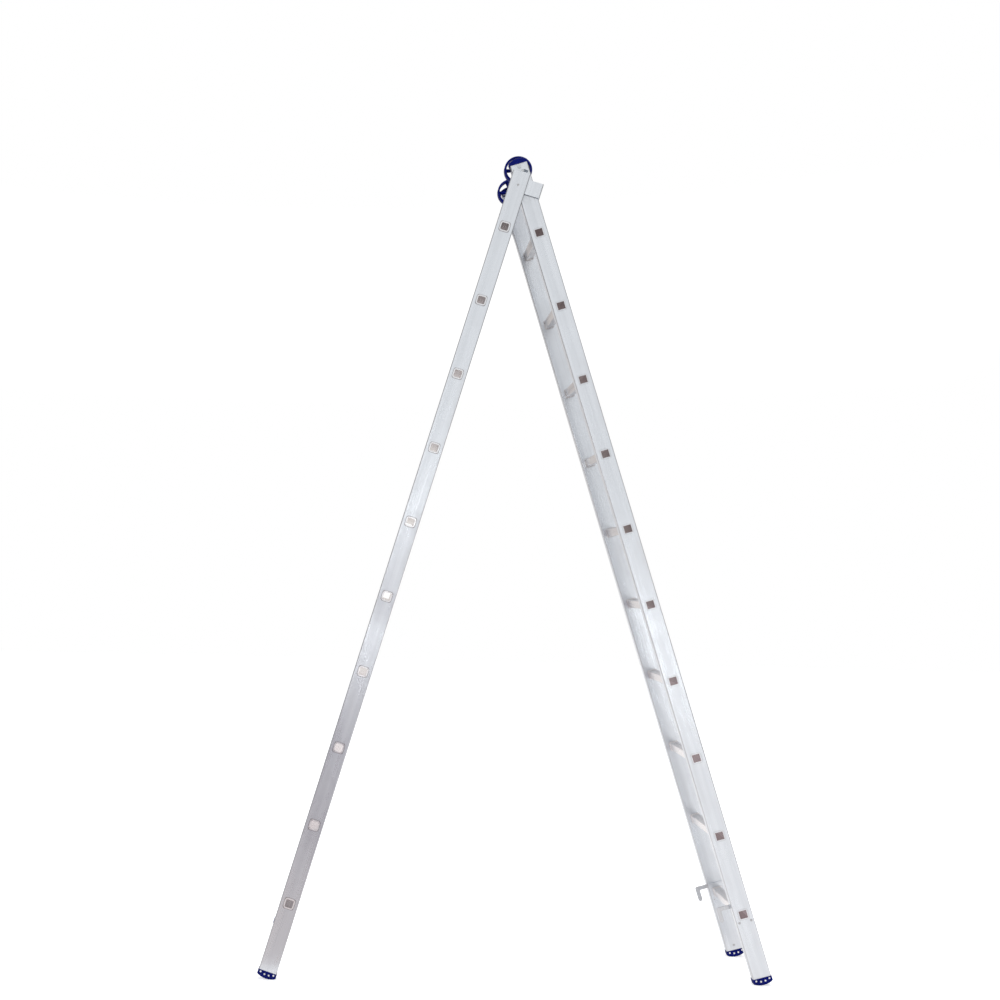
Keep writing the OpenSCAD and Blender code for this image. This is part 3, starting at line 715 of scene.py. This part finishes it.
def turned_parts(name, places, tree, material, sizes):
    """One plain mesh of turned parts, made by the tree from the places they sit in."""
    # Edges that fold by more than this, in radians, stay sharp
    crease = 0.6
    mesh = bpy.data.meshes.new(name + "_places")
    mesh.from_pydata([foot for foot, facing, grip in places], [], [])
    mesh.attributes.new("facing", "FLOAT_VECTOR", "POINT")
    mesh.attributes.new("grip", "FLOAT", "POINT")
    for index, (foot, facing, grip) in enumerate(places):
        mesh.attributes["facing"].data[index].vector = facing
        mesh.attributes["grip"].data[index].value = grip
    source = bpy.data.objects.new(name + "_places", mesh)
    bpy.context.scene.collection.objects.link(source)
    modifier = source.modifiers.new("turned", "NODES")
    modifier.node_group = tree
    for item in tree.interface.items_tree:
        if item.in_out == "INPUT" and item.name in sizes:
            modifier[item.identifier] = sizes[item.name]
    bpy.context.view_layer.update()
    made = bpy.data.meshes.new_from_object(source.evaluated_get(bpy.context.evaluated_depsgraph_get()))
    made.name = name
    made.materials.clear()
    made.materials.append(material)
    bpy.data.objects.remove(source)
    for attribute in ("facing", "grip", "shank_share"):
        if attribute in made.attributes:
            made.attributes.remove(made.attributes[attribute])
    work = bmesh.new()
    work.from_mesh(made)
    bmesh.ops.remove_doubles(work, verts=work.verts, dist=touching)
    bmesh.ops.recalc_face_normals(work, faces=work.faces)
    for edge in work.edges:
        edge.smooth = edge.calc_face_angle(0) < crease
    for face in work.faces:
        face.smooth = True
        face.material_index = 0
    work.to_mesh(made)
    work.free()
    piece = bpy.data.objects.new(name, made)
    bpy.context.scene.collection.objects.link(piece)
    return piece


# A domed rivet, hollowed in the middle, with the broken stem standing in the hollow
rivet_dome = 0.0016
rivet_shank = 0.588
rivet_size = {"Around": 28, "Radius": 0.00425, "Front Height": rivet_dome}
rivet_profile = [
    (0.0, 0.70, 0), (0.20, 0.74, 0), (0.24, 0.62, 0), (0.25, 0.30, 0), (0.33, 0.30, 0), (0.36, 0.82, 0),
    (0.40, 0.97, 0), (0.46, 1.0, 0), (0.60, 0.93, 0), (0.76, 0.74, 0), (0.90, 0.46, 0), (0.98, 0.20, 0),
    (1.0, 0.06, 0), (0.98, 0.0, 0), (rivet_shank, 0.0, 0), (rivet_shank, 0.0, 1), (0.0, 0.0, 1)]
rivet_tree = turned_tree("pulled_rivets", rivet_profile, materials["rivet"])

# A straight pin with a small hollow in its front, the edges of the front eased
pin_ease = 0.0003
pin_size = {"Around": 24, "Radius": 0.00325, "Front Height": pin_ease}
pin_profile = [
    (0.0, 0.0, 0), (0.24, 0.0, 0), (0.30, 1.0, 0), (0.88, 1.0, 0), (1.0, 0.0, 0),
    (1.0, 0.0, 1), (0.88, 0.0, 1), (0.30, 0.0, 1), (0.0, 0.0, 1)]
pin_tree = turned_tree("grip_pins", pin_profile, materials["white"])

for body, name, places in (
        ("outer_section", "outer_rivets", (("bracket_rivets", outward), ("outer_foot_rivets", inward_splayed))),
        ("inner_section", "inner_rivets", (("hook_rivets", outward), ("inner_foot_rivets", inward)))):
    found = [spot for node, way in places for spot in spots(node, way, rivet_dome)]
    piece = turned_parts(name, found, rivet_tree, materials["rivet"], rivet_size)
    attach(piece, body)
    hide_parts(*[node for node, way in places])

for body, name, node in (("outer_section", "outer_pins", "outer_grip_pins"),
                         ("inner_section", "inner_pins", "inner_grip_pins")):
    piece = turned_parts(name, spots(node, outward, pin_ease), pin_tree, materials["white"], pin_size)
    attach(piece, body)
    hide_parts(node)


# ---------------------------------------------------------------- floor, light and camera

def upright(left, right, y, bottom, top):
    return [(left, y, bottom), (right, y, bottom), (right, y, top), (left, y, top)]


def level(left, right, front, back, z):
    return [(left, front, z), (right, front, z), (right, back, z), (left, back, z)]


def flat_sheet(name, corners, material):
    mesh = bpy.data.meshes.new(name)
    mesh.from_pydata(corners, [], [(0, 1, 2, 3)])
    mesh.materials.append(material)
    made = bpy.data.objects.new(name, mesh)
    bpy.context.scene.collection.objects.link(made)
    return made


def stage_material(name):
    material = bpy.data.materials.new(name)
    material.use_nodes = True
    material.node_tree.nodes.clear()
    return material, Sheet(material.node_tree)


def background_rays(sheet):
    """1 for the rays that show the background: from the camera, in metal, and through glass."""
    path = sheet.node("ShaderNodeLightPath").outputs
    shiny = sheet.maths("MAXIMUM", path["Is Glossy Ray"], path["Is Transmission Ray"])
    return sheet.maths("MAXIMUM", path["Is Camera Ray"], shiny)


def floor_material():
    """Pale floor that reads as white where it is lit, and still takes a shadow."""
    glow_in_metal, glow_seen = 0.42, 0.56
    material, sheet = stage_material("floor_white")
    plain = sheet.feed(sheet.node("ShaderNodeBsdfDiffuse"), Color=colour((0.82, 0.82, 0.82))).outputs[0]
    seen = sheet.light_path("Is Camera Ray")
    glow = sheet.times(background_rays(sheet), sheet.between(seen, 0.0, 1.0, glow_in_metal, glow_seen, smooth=False))
    hue = sheet.blend(seen, (1.0, 0.92, 0.87), white)
    glowing = sheet.feed(sheet.node("ShaderNodeEmission"), Color=hue, Strength=glow).outputs[0]
    both = sheet.feed(sheet.node("ShaderNodeAddShader"), i0=plain, i1=glowing).outputs[0]
    sheet.feed(sheet.node("ShaderNodeOutputMaterial"), Surface=both)
    return material


def card_material(name, tone):
    """Grey card of a studio, seen only in the metal."""
    material, sheet = stage_material(name)
    grey = sheet.feed(sheet.node("ShaderNodeEmission"), Color=colour(tone), Strength=1.0).outputs[0]
    sheet.feed(sheet.node("ShaderNodeOutputMaterial"), Surface=grey)
    return material


def studio_world():
    """Soft even light, with a background that is white to the camera and, in metal, darker low down, high up and
    far to the sides, and a little warmer behind the ladder."""
    world = bpy.data.worlds.new("studio")
    bpy.context.scene.world = world
    world.use_nodes = True
    world.node_tree.nodes.clear()
    sheet = Sheet(world.node_tree)
    plain = sheet.feed(sheet.node("ShaderNodeBackground"), Color=colour((0.95, 0.97, 1.0)), Strength=0.6).outputs[0]
    aim = sheet.split(sheet.node("ShaderNodeTexCoord").outputs["Generated"])
    low = sheet.between(aim["Z"], 0.10, 0.22, 0.87, 1.09)
    high = sheet.between(aim["Z"], 0.27, 0.42, 1.0, 0.82)
    aside = sheet.between(sheet.size(aim["X"]), 0.45, 0.7, 1.0, 0.4)
    seen = sheet.light_path("Is Camera Ray")
    strength = sheet.maths("MAXIMUM", sheet.times(sheet.times(low, high), aside), seen)
    behind = sheet.times(sheet.between(aim["Y"], 0.2, 0.7), sheet.minus(1.0, seen))
    hue = sheet.blend(behind, white, (1.0, 0.955, 0.93))
    shown = sheet.feed(sheet.node("ShaderNodeBackground"), Color=hue, Strength=strength).outputs[0]
    mixed = sheet.feed(sheet.node("ShaderNodeMixShader"), i0=background_rays(sheet), i1=plain, i2=shown).outputs[0]
    sheet.feed(sheet.node("ShaderNodeOutputWorld"), Surface=mixed)


def soft_lamp(name, place, aim, size, radiance, in_metal=True):
    """An area lamp of the given brightness, where 1 is as bright as white paper."""
    data = bpy.data.lights.new(name, "AREA")
    data.shape = "RECTANGLE"
    data.size, data.size_y = size
    data.energy = radiance * math.pi * size[0] * size[1]
    lamp = bpy.data.objects.new(name, data)
    lamp.location = place
    lamp.rotation_mode = "QUATERNION"
    lamp.rotation_quaternion = (Vector(aim) - Vector(place)).to_track_quat("-Z", "Y")
    lamp.visible_glossy = in_metal
    bpy.context.scene.collection.objects.link(lamp)


flat_sheet("floor", level(left=-14, right=14, front=-14, back=14, z=0), floor_material())
for name, tone, corners in (
        ("grey_card", (0.44, 0.40, 0.43), upright(left=-2.4, right=0.25, y=-3.2, bottom=0.02, top=1.35)),
        ("grey_mat", (0.78, 0.71, 0.70), level(left=-2.4, right=-0.3, front=-3.2, back=-0.4, z=0.02))):
    card = flat_sheet(name, corners, card_material(name, tone))
    card.visible_camera = False
    card.visible_diffuse = False
    card.visible_transmission = False
    card.visible_shadow = False

studio_world()
soft_lamp("key", place=(-3.5, -6.0, 4.5), aim=(0, 0, 1.5), size=(4.0, 3.0), radiance=1.2, in_metal=False)
soft_lamp("near_band", place=(-1.5, -8.2, 2.05), aim=(-0.4, 0, 1.5), size=(3.0, 0.5), radiance=3.8)
soft_lamp("far_band", place=(1.8, -8.2, 0.55), aim=(0.8, 0, 1.0), size=(2.4, 0.6), radiance=3.0)
soft_lamp("overhead", place=(0.3, 0.5, 6.5), aim=(0.3, 0, 1.0), size=(6.0, 6.0), radiance=1.5)

camera_data = bpy.data.cameras.new("camera")
camera_data.lens = 37.265
camera_data.sensor_width = 36.0
camera_data.shift_x = 0.1806
camera_data.shift_y = 0.0328
camera = bpy.data.objects.new("camera", camera_data)
camera.location = (-0.4816, -3.8983, 1.391)
camera.rotation_euler = (math.radians(92.472), math.radians(-0.961), math.radians(3.455))
bpy.context.scene.collection.objects.link(camera)
bpy.context.scene.camera = camera
bpy.context.scene.view_settings.view_transform = "Standard"
